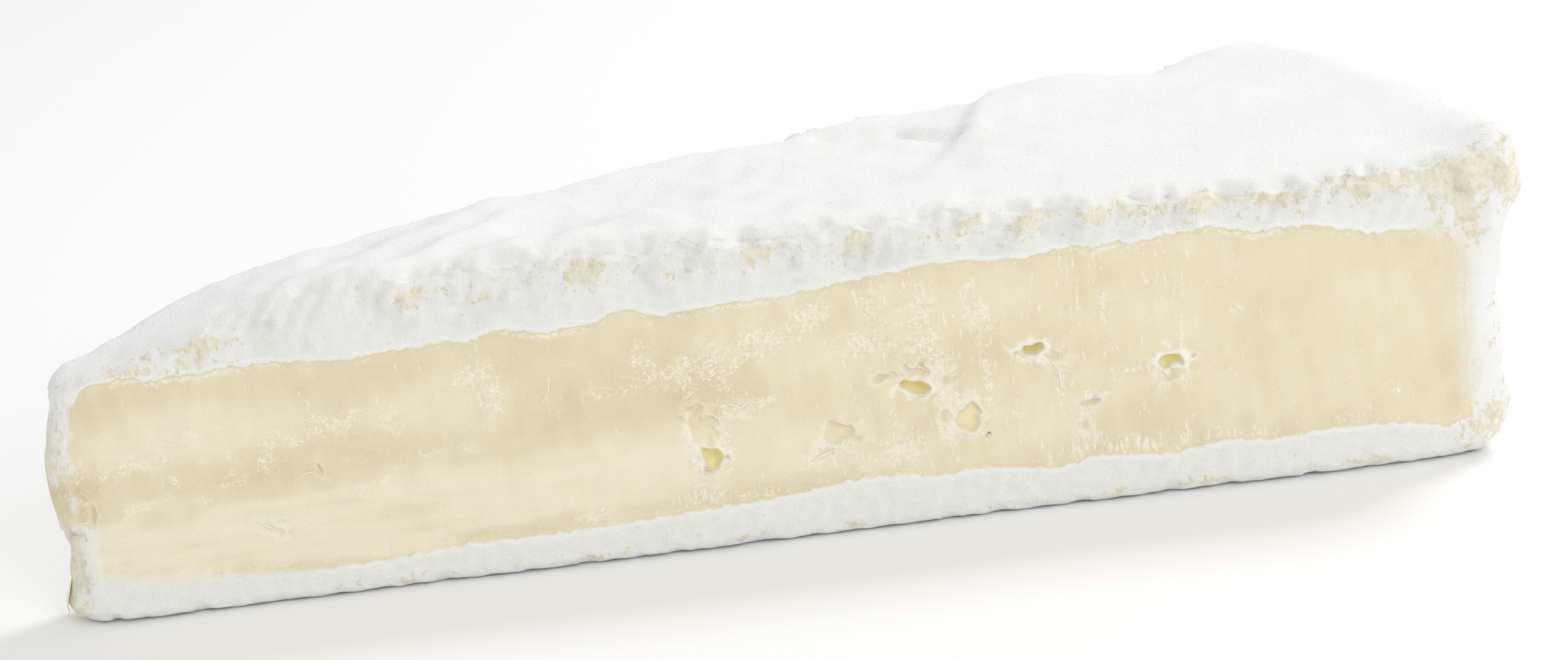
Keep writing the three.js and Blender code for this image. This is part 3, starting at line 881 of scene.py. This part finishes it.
# %% Points on a cut and the way out of it
def cut_points(along, height, side):
    """Places on the cuts, in millimetres, one column for each distance, height and side."""
    up = height * THICKNESS / top_height(along, np.zeros_like(along))
    cube_x = np.interp(along, *reversed(list(zip(*ROWS_ALONG)))) - 0.5
    cube_z = np.interp(up, *reversed(list(zip(*ROWS_UP)))) - 0.5
    return place_on_wedge(cube_x, side - 0.5, cube_z)[0]


def way_out(side):
    turn = side * CUT_ANGLE
    return np.array([0.0, -1, 0]) if side == 0 else np.array([-math.sin(turn), math.cos(turn), 0])


# %% A bar to bend into curls
STATIONS = 6

bar = bmesh.new()
bmesh.ops.create_cube(bar, size=1)
long_edges = [e for e in bar.edges if abs(e.verts[0].co.x - e.verts[1].co.x) > 0.5]
bmesh.ops.subdivide_edges(bar, edges=long_edges, cuts=STATIONS - 2, use_grid_fill=True)
bar_points = cube_points(bar)
bar_mesh = bpy.data.meshes.new("bar")
bar.to_mesh(bar_mesh)
bar.free()


def laid_bar(line, width, out):
    """The bar's points, tapered and laid along a line of stations, in millimetres."""
    run = line[:, -1] - line[:, 0]
    aside = np.cross(out, run) / max(np.linalg.norm(run), 1e-6)
    share = bar_points[0] + 0.5
    station = np.round(share * (STATIONS - 1)).astype(int)
    bow = np.maximum(np.sin(math.pi * share), 0)
    thick = width * (0.12 + 0.88 * bow**0.7)
    high = 0.3 * bar_points[2] * thick + 0.1 * width * bow
    return line[:, station] + aside[:, None] * (bar_points[1] * thick) + out[:, None] * high


# %% Where the curls sit
LONG_CURLS = [
    ((73.8, 22.6), (73.5, 20.6), 0.16), ((73.5, 20.8), (72.6, 19.2), 0.16),
    ((128.3, 17.6), (129.4, 15.9), 0.26), ((129.3, 16.1), (129.6, 13.4), 0.30),
    ((133.9, 12.6), (132.2, 12.0), 0.24), ((94.8, 16.7), (96.3, 16.3), 0.18),
    ((92.4, 17.0), (94.6, 15.9), 0.26), ((93.4, 15.6), (95.2, 16.9), 0.20),
    ((88.7, 9.4), (91.0, 9.1), 0.26), ((47.0, 15.8), (47.9, 14.2), 0.18),
    ((45.2, 14.6), (47.3, 14.8), 0.20), ((40.0, 9.7), (42.2, 8.4), 0.30),
    ((42.6, 9.8), (43.6, 9.2), 0.20), ((22.7, 12.0), (20.8, 12.1), 0.26),
    ((140.3, 15.0), (141.0, 13.2), 0.26), ((125.2, 18.0), (127.9, 17.5), 0.20),
    ((125.4, 19.4), (127.6, 19.3), 0.20), ((112.2, 17.0), (113.5, 18.3), 0.24),
    ((113.6, 18.4), (115.2, 17.6), 0.26), ((112.3, 15.1), (114.9, 14.9), 0.24),
    ((104.4, 13.1), (106.4, 12.2), 0.18), ((106.4, 12.3), (106.6, 11.2), 0.18),
    ((101.2, 8.9), (104.6, 10.0), 0.34), ((108.5, 17.3), (109.8, 18.1), 0.16),
    ((109.8, 18.1), (111.1, 17.6), 0.16), ((137.0, 15.2), (139.4, 15.4), 0.14),
]


def scattered_curls(draw, tries=60000, most=600):
    """Rows of side, start, end and width: short curls under the edges and on the smears."""
    side = (draw.random(tries) > 0.6).astype(float)
    along, height = draw.uniform(22, 172, tries), draw.uniform(4, 30, tries)
    top, foot = paste_edges(along, side)
    beads = sum(mound(along - place, reach) for place, reach in BEADED)
    teeth = sum(mound(along - place, reach) for place, reach in TOOTHED)
    wanted = beads * mound(top - height - 0.6, 0.4) + teeth * mound(height - foot - 0.9, 0.8)
    wanted = 0.2 * (wanted + 0.5 * smears(along, height))
    kept = (draw.random(tries) < wanted) & (height > foot + 0.3) & (height < top - 0.25)
    turn = draw.normal(math.pi / 2, np.where(along > 84, 0.4, 1.0))
    length = draw.uniform(0.3, 0.9, tries) * np.where(height < foot + 2, 1.6, 1)
    start = np.stack([along, height], axis=1)
    end = start + np.stack([np.cos(turn), np.sin(turn)], axis=1) * length[:, None]
    width = draw.uniform(0.07, 0.16, tries)
    chosen = np.flatnonzero(kept)[:most]
    return [(side[n], tuple(start[n]), tuple(end[n]), width[n]) for n in chosen]


# %% The curls as one piece
rows = [(0.0, *row) for row in LONG_CURLS] + scattered_curls(np.random.default_rng(71))
side_of, width_of = np.array([[row[0], row[3]] for row in rows]).T
start_of, end_of = np.array([row[1] for row in rows]), np.array([row[2] for row in rows])
share = np.linspace(0, 1, STATIONS)[:, None, None]
spots = (start_of + (end_of - start_of) * share).reshape(-1, 2)
stations = cut_points(spots[:, 0], spots[:, 1], np.tile(side_of, STATIONS))
lines = stations.reshape(3, STATIONS, len(rows))
bent = [
    laid_bar(lines[:, :, index], width, way_out(side))
    for index, (side, width) in enumerate(zip(side_of, width_of))
]
tip_up = np.linspace(5.4, 0.9, STATIONS) * THICKNESS / top_height(TIP_RADIUS, 0)
tip_z = np.interp(tip_up, *reversed(list(zip(*ROWS_UP)))) - 0.5
hanging = place_on_wedge(np.full(STATIONS, -0.5), np.full(STATIONS, -0.3), tip_z)[0]
hanging[0] -= np.linspace(0, 0.6, STATIONS)
bent.append(laid_bar(hanging, 0.8, np.array([-1.0, 0, 0])))

curls = bmesh.new()
for _ in bent:
    curls.from_mesh(bar_mesh)
curl_places = np.hstack(bent)
torn_curls = make_object("torn_curls", curls)
torn_curls.data.vertices.foreach_set("co", to_part_frame(curl_places).T.ravel())
torn_curls.data.update()
print("curls:", len(torn_curls.data.polygons), "faces")
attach(torn_curls, "root")

pulled = Graph("pulled paste")
pulled_colour = pulled.mix(pulled.noise(1.5, 3), rgb(248, 244, 226), rgb(242, 234, 208))
pulled.put(pulled.shader.inputs["Base Color"], pulled_colour)
pulled.shader.inputs["Roughness"].default_value = 0.6
torn_curls.data.materials.append(pulled.material)

# %% [markdown]
# ## Table, light and camera
#
# Cheese is photographed on white, in light so soft that it hardly throws a shadow. A wide
# pale floor, a bright sky all round and two large soft lights give that. The camera stands
# 40 cm away, looks down a little and is tilted, so that the long wedge climbs to the right.

# %% Floor
table = bmesh.new()
bmesh.ops.create_grid(table, x_segments=1, y_segments=1, size=3)
bmesh.ops.translate(table, verts=table.verts, vec=(0, 0, -0.00005))
floor = make_object("floor", table)
plain = Graph("pale table")
plain_shade = plain.mix(plain.noise(400, 2), rgb(254, 254, 254), rgb(251, 251, 251))
plain.put(plain.shader.inputs["Base Color"], plain_shade)
plain.shader.inputs["Roughness"].default_value = 0.9
floor.data.materials.append(plain.material)

# %% Light
sky = bpy.data.worlds.new("studio sky")
sky.use_nodes = True
sky.node_tree.nodes["Background"].inputs["Color"].default_value = (1, 1, 1, 1)
sky.node_tree.nodes["Background"].inputs["Strength"].default_value = 0.70
bpy.context.scene.world = sky


def soft_light(name, place, size, power):
    lamp = bpy.data.lights.new(name, "AREA")
    lamp.shape = "DISK"
    lamp.size = size
    lamp.energy = power
    made = bpy.data.objects.new(name, lamp)
    made.location = place
    aim = Vector((0, 0, 0.02)) - Vector(place)
    made.rotation_euler = aim.to_track_quat("-Z", "Y").to_euler()
    bpy.context.scene.collection.objects.link(made)
    return made


soft_light("key light", (0.50, 0.35, 0.65), 0.30, 2.55)
soft_light("front light", (0.40, -0.85, 0.50), 0.45, 2.4)

# %% Camera
YAW, DOWN, TILT = math.radians(2.14), math.radians(16.17), math.radians(6.35)
DISTANCE = 0.400
LOOK_AT = Vector((0.09979 - 0.001 * BOX_MIDDLE[0], -0.001 * BOX_MIDDLE[1], 0.02443))
FRAME_PIXELS = 2576
FOCAL_PIXELS = 6037

camera = bpy.data.objects.new("camera", bpy.data.cameras.new("camera"))
look = Vector((math.sin(YAW) * math.cos(DOWN), math.cos(YAW) * math.cos(DOWN), -math.sin(DOWN)))
camera.location = LOOK_AT - look * DISTANCE
turned = (
    Matrix.Rotation(-YAW, 3, "Z")
    @ Matrix.Rotation(math.pi / 2 - DOWN, 3, "X")
    @ Matrix.Rotation(-TILT, 3, "Z")
)
camera.rotation_euler = turned.to_euler()
camera.data.sensor_width = 36
camera.data.lens = 36 * FOCAL_PIXELS / FRAME_PIXELS
camera.data.clip_start = 0.01
bpy.context.scene.collection.objects.link(camera)
bpy.context.scene.camera = camera
bpy.context.scene.view_settings.view_transform = "Standard"
print("camera at", [round(value, 4) for value in camera.location])
